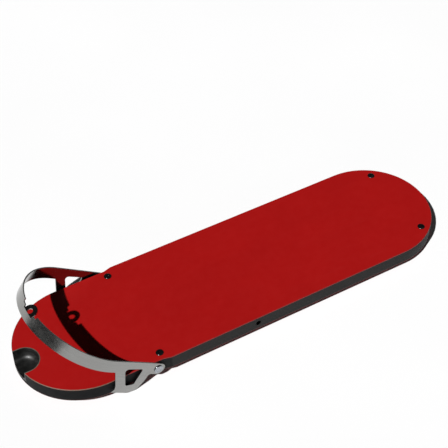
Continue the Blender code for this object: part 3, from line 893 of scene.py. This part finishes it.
@dataclass
class DeckScrews:
    """Four domed black screws with a hexagon socket."""

    profile: tuple[tuple[float, float], ...] = (
        (0.0148, 0.0), (0.0147, 0.0007), (0.0141, 0.0015), (0.0128, 0.0024), (0.0107, 0.0032),
        (0.0079, 0.0037), (0.0048, 0.0039))
    key_radius: float = 0.0046
    key_depth: float = 0.0026
    key_tool: float = 0.02
    seat_gap: float = 0.0001
    steps: int = 64
    rounding: float = 0.00025
    finish: MouldedFinish = MouldedFinish(
        "screw_black", (0.0040, 0.0040, 0.0044), (0.040, 0.040, 0.042), 0.20, 0.30, 2200.0,
        0.00001)

    def build(self) -> None:
        """Model one screw head and copy it to the four places."""
        first: Piece | None = None
        finish = self.finish.make()
        for name in ("front_near", "front_far", "rear_near", "rear_far"):
            low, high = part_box(f"deck_screw_{name}")
            centre = Vector(((low[0] + high[0]) / 2, (low[1] + high[1]) / 2,
                             high[2] - self.profile[-1][1] - self.seat_gap))
            if first is None:
                first, first_centre = self.head(centre), centre
                piece = first
                piece.name = f"deck_bolt_{name}"
            else:
                piece = copy_at(first, f"deck_bolt_{name}", centre - first_centre)
            hand_over(piece, BOARD_BODY, [f"deck_screw_{name}"], (finish,))

    def head(self, centre: Vector) -> Piece:
        """One screw head on the deck.

        Args:
            centre: Middle of its underside.

        Returns:
            The finished head.
        """
        head = lathe("deck_bolt", self.profile, self.steps)
        top = self.profile[-1][1]
        bpy.ops.mesh.primitive_cylinder_add(
            vertices=6, radius=self.key_radius, depth=self.key_tool,
            location=(0.0, 0.0, top - self.key_depth + self.key_tool / 2))
        boolean(head, bpy.context.active_object)
        head.location = centre
        settle(head)
        soften(head, self.rounding, sharp_deg=40.0)
        return head


@dataclass
class SideSockets:
    """The blind moulded socket at mid length in each side."""

    rounding: float = 0.0005
    finish: MouldedFinish = MouldedFinish(
        "socket_black", (0.0045, 0.0045, 0.0048), (0.020, 0.020, 0.020), 0.55, 0.4)

    def build(self) -> None:
        """Make and dress both sockets."""
        finish = self.finish.make()
        for side in Side:
            node = f"side_socket_{side.label}"
            piece = merged_copy(node, f"peg_socket_{side.label}")
            soften(piece, self.rounding, sharp_deg=40.0)
            hand_over(piece, BOARD_BODY, [node], (finish,))


@dataclass
class Runners:
    """The two wear runners under the board."""

    rounding: float = 0.0022
    finish: MouldedFinish = MouldedFinish(
        "runner_black", (0.020, 0.020, 0.020), (0.085, 0.083, 0.080), 0.52, 0.9, 900.0,
        0.00005, (0.12, 5.0, 1.0))

    def build(self) -> None:
        """Make and dress both runners."""
        finish = self.finish.make()
        for side in Side:
            node = f"runner_{side.label}"
            piece = merged_copy(node, f"wear_runner_{side.label}")
            soften(piece, self.rounding, segments=3, sharp_deg=28.0)
            hand_over(piece, BOARD_BODY, [node], (finish,))


@dataclass
class Bail:
    """The strip-steel hoop with its arms, legs and towing lug."""

    raised_deg: float = 35.65
    arm_end: float = 0.2072
    curve: float = 0.2453
    half_width: float = 0.2533
    rounding: float = 0.0006
    face_finish: BrushedFinish = BrushedFinish(
        "bail_brushed", (0.350, 0.348, 0.338), (0.235, 0.234, 0.228), 0.15, 0.40)

    def build(self) -> None:
        """Make the bail, lay its grain along the strip and dress it."""
        piece = merged_copy("bail_hoop", "swing_bail")
        soften(piece, self.rounding, segments=3)
        self.lay_grain(piece)
        hand_over(piece, BAIL_BODY, ["bail_hoop"],
                  (self.face_finish.make(),))

    def lay_grain(self, piece: Piece) -> None:
        """Write a UV map that runs along the strip and across it, in metres.

        Args:
            piece: The bail.
        """
        mesh = piece.data
        for layer in list(mesh.uv_layers):
            mesh.uv_layers.remove(layer)
        layer = mesh.uv_layers.new(name="strip")
        turn = math.radians(self.raised_deg)
        for loop in mesh.loops:
            point = mesh.vertices[loop.vertex_index].co
            ahead, up = HINGE_X - point.x, point.z - HINGE_Z
            forward = ahead * math.cos(turn) + up * math.sin(turn)
            height = up * math.cos(turn) - ahead * math.sin(turn)
            layer.uv[loop.index].vector = (self.length_at(forward, point.y), height)

    def length_at(self, forward: float, across: float) -> float:
        """Distance along the strip from the hinge.

        Args:
            forward: Distance ahead of the hinge.
            across: Distance from the board's middle line.

        Returns:
            The length in metres.
        """
        if forward <= self.arm_end:
            return forward
        angle = math.atan2((forward - self.arm_end) / self.curve, abs(across) / self.half_width)
        return self.arm_end + angle * (self.curve + self.half_width) / 2


@dataclass
class PivotHardware:
    """The hinge on each side: a turned cap over the bolt head, with bolt, bush and washer."""

    edge: tuple[tuple[float, float], ...] = ((0.0, 0.0012), (0.0005, 0.0004), (0.0014, 0.0))
    face: tuple[tuple[float, float], ...] = (
        (0.0118, 0.0), (0.0110, 0.0007), (0.0040, 0.0002), (0.0012, 0.0))
    pocket_radius: float = 0.0153
    pocket_depth: float = 0.0025
    overshoot: float = 0.01
    steps: int = 72
    rounding: float = 0.0002
    finish: SteelFinish = SteelFinish(
        "cap_turned", (0.430, 0.450, 0.480), (0.280, 0.300, 0.330), 0.24,
        (HINGE_X, 0.0, HINGE_Z), "Y", 260.0, 0.00004)
    bolt_finish: SteelFinish = SteelFinish(
        "pivot_bolt_steel", (0.56, 0.56, 0.55), (0.44, 0.44, 0.43), 0.30,
        (HINGE_X, 0.0, HINGE_Z))
    washer_finish: MouldedFinish = MouldedFinish(
        "washer_black", (0.016, 0.016, 0.017), (0.050, 0.050, 0.050), 0.55, 0.5)
    bush_finish: MouldedFinish = MouldedFinish(
        "bush_nylon", (0.62, 0.60, 0.53), (0.50, 0.47, 0.40), 0.45, 0.6)

    def build(self) -> None:
        """Make the caps and dress the hinge's other parts."""
        cap_finish, bolt = self.finish.make(), self.bolt_finish.make()
        washer, bush = self.washer_finish.make(), self.bush_finish.make()
        for side in Side:
            node = f"pivot_cap_{side.label}"
            piece = self.cap(node, side)
            hand_over(piece, BOARD_BODY, [node], (cap_finish,))
            dress_node(f"pivot_bolt_{side.label}", bolt)
            dress_node(f"pivot_washer_{side.label}", washer)
            dress_node(f"pivot_bush_{side.label}", bush)

    def cap(self, node: str, side: Side) -> Piece:
        """One plain dished cap with a turned step.

        Args:
            node: The CAD node that it stands for.
            side: Which side it closes.

        Returns:
            The finished cap.
        """
        low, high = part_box(node)
        radius = (high[0] - low[0]) / 2
        inner = high[1] if side is Side.NEAR else low[1]
        depth = high[1] - low[1]
        rings = [(radius, 0.0)]
        rings += [(radius - inset, depth - below) for inset, below in self.edge]
        rings += [(wide, depth - below) for wide, below in self.face]
        piece = lathe(f"hinge_cap_{side.label}", rings, self.steps)
        pocket = lathe("pocket_tool", [(self.pocket_radius, -self.overshoot),
                                       (self.pocket_radius, self.pocket_depth)], self.steps)
        boolean(piece, pocket)
        place_turned(piece, Vector(((low[0] + high[0]) / 2, inner, (low[2] + high[2]) / 2)),
                     side)
        soften(piece, self.rounding, sharp_deg=40.0)
        return piece


@dataclass
class BuriedParts:
    """The core and fasteners that show only from below or not at all."""

    foam: FoamFinish = FoamFinish("core_foam", (0.70, 0.64, 0.43), (0.48, 0.42, 0.26), 520.0)
    aluminium: SteelFinish = SteelFinish("mill_aluminium", (0.66, 0.67, 0.68),
                                         (0.54, 0.55, 0.56), 0.42, ring_axis="X",
                                         ring_scale=90.0)
    steel: SteelFinish = SteelFinish("plain_steel", (0.56, 0.56, 0.55), (0.42, 0.42, 0.41),
                                     0.34, ring_axis="Z")
    brass: SteelFinish = SteelFinish("insert_brass", (0.66, 0.50, 0.20), (0.50, 0.36, 0.13),
                                     0.34, ring_axis="Z")

    def build(self) -> None:
        """Dress the CAD nodes that stay."""
        finishes = {"foam_core": self.foam.make(), "stiffener_": self.aluminium.make(),
                    "barrel_nut_": self.steel.make(), "runner_insert_": self.brass.make()}
        finishes["pivot_block_"] = finishes["stiffener_"]
        finishes["runner_screw_"] = finishes["rim_dowel_"] = finishes["barrel_nut_"]
        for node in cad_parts:
            for start, finish in finishes.items():
                if node.startswith(start):
                    dress_node(node, finish)


# ---- the studio -----------------------------------------------------------------------------
@dataclass
class Studio:
    """Pale floor, one key light with crisp shadows, a dim surround and the camera."""

    floor_half: float = 14.0
    floor_tone: float = 0.95
    floor_glow: float = 0.01
    floor_cuts: int = 6
    floor_mottle: float = 0.01
    key_travel: Triple = (0.5735, 0.3114, -0.7576)
    key_strength: float = 4.2
    key_angle_deg: float = 1.0
    sky_low: float = 0.055
    sky_high: float = 0.009
    soft_side: float = 0.10
    sky_rise: tuple[float, float] = (0.0, 0.55)
    soft_rise: tuple[float, float] = (0.05, 0.45)
    soft_turn: tuple[float, float] = (0.25, 0.85)
    target: Triple = (0.0971, 0.2325, 0.092)
    distance: float = 4.464
    azimuth_deg: float = -30.77
    elevation_deg: float = 45.42
    roll_deg: float = 0.66
    lens_mm: float = 89.77
    sensor_mm: float = 36.0
    sight_limit: float = 100.0

    def build(self) -> None:
        """Make floor, light, surround and camera."""
        self.lay_floor()
        self.hang_key()
        self.paint_surround()
        self.set_camera()
        bpy.context.scene.view_settings.view_transform = "Standard"
        LOG.info("studio ready")

    def lay_floor(self) -> None:
        """A wide pale floor with a little light of its own."""
        bpy.ops.object.select_all(action="DESELECT")
        bpy.ops.mesh.primitive_plane_add(size=2 * self.floor_half, location=(0.0, 0.0, 0.0))
        floor = bpy.context.active_object
        floor.name = "studio_floor"
        open_edit(floor)
        bpy.ops.mesh.subdivide(number_cuts=self.floor_cuts)
        close_edit()
        recipe = Recipe("floor_pale")
        tone = recipe.span(recipe.noise(recipe.place(), 0.8, 2.0), 0.3, 0.7,
                           self.floor_tone - self.floor_mottle,
                           self.floor_tone + self.floor_mottle)
        recipe.colour(tone)
        recipe.fixed(Roughness=0.9, Specular_IOR_Level=0.0, Emission_Strength=self.floor_glow)
        recipe.shader.inputs["Emission Color"].default_value = (1.0, 1.0, 1.0, 1.0)
        floor.data.materials.append(recipe.material)

    def hang_key(self) -> None:
        """The key light."""
        lamp = bpy.data.lights.new("key", "SUN")
        lamp.energy = self.key_strength
        lamp.angle = math.radians(self.key_angle_deg)
        key = bpy.data.objects.new("key", lamp)
        bpy.context.collection.objects.link(key)
        key.rotation_euler = Vector(self.key_travel).to_track_quat("-Z", "Y").to_euler()

    def paint_surround(self) -> None:
        """A dim surround that is brighter low on the side away from the camera."""
        world = bpy.data.worlds.new("studio")
        bpy.context.scene.world = world
        world.use_nodes = True
        tree = world.node_tree
        back = tree.nodes["Background"]
        coord = tree.nodes.new("ShaderNodeTexCoord")
        split = tree.nodes.new("ShaderNodeSeparateXYZ")
        tree.links.new(coord.outputs["Generated"], split.inputs["Vector"])
        rise = self.world_span(tree, split.outputs["Z"], self.sky_rise, self.sky_low,
                               self.sky_high)
        low = self.world_span(tree, split.outputs["Z"], self.soft_rise, self.soft_side, 0.0)
        side = self.world_span(tree, split.outputs["X"], self.soft_turn, 0.0, 1.0)
        glow = tree.nodes.new("ShaderNodeMath")
        glow.operation = "MULTIPLY_ADD"
        tree.links.new(low, glow.inputs[0])
        tree.links.new(side, glow.inputs[1])
        tree.links.new(rise, glow.inputs[2])
        tree.links.new(glow.outputs["Value"], back.inputs["Color"])

    @staticmethod
    def world_span(tree: bpy.types.NodeTree, source: Socket, ends: tuple[float, float],
                   start: float, stop: float) -> Socket:
        """Stretch a value from one range to another in the surround's nodes.

        Args:
            tree: The node tree.
            source: The value.
            ends: Lower and upper end of its range.
            start: What the lower end becomes.
            stop: What the upper end becomes.

        Returns:
            The new value.
        """
        node = tree.nodes.new("ShaderNodeMapRange")
        for key, value in (("From Min", ends[0]), ("From Max", ends[1]), ("To Min", start),
                           ("To Max", stop)):
            node.inputs[key].default_value = value
        tree.links.new(source, node.inputs["Value"])
        return node.outputs["Result"]

    def set_camera(self) -> None:
        """A long lens above the near side, looking along the board."""
        turn = (Matrix.Rotation(math.radians(self.azimuth_deg), 3, "Z")
                @ Matrix.Rotation(math.radians(90.0 - self.elevation_deg), 3, "X"))
        back = turn @ Vector((0.0, 0.0, 1.0))
        data = bpy.data.cameras.new("camera")
        data.lens = self.lens_mm
        data.sensor_width = self.sensor_mm
        data.clip_end = self.sight_limit
        camera = bpy.data.objects.new("camera", data)
        bpy.context.collection.objects.link(camera)
        roll = Matrix.Rotation(math.radians(self.roll_deg), 3, "Z")
        camera.matrix_world = (Matrix.Translation(Vector(self.target) + back * self.distance)
                               @ (turn @ roll).to_4x4())
        bpy.context.scene.camera = camera


def main() -> None:
    """Build the studio and every sub-assembly."""
    logging.basicConfig(level=logging.INFO, format="%(name)s: %(message)s")
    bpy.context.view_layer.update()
    for part in (Studio(), Skins(), EdgeRims(), HandScoop(), DeckScrews(), SideSockets(),
                 Runners(), Bail(), PivotHardware(), BuriedParts()):
        part.build()
        LOG.info("%s done", type(part).__name__)


if __name__ == "__main__":
    main()
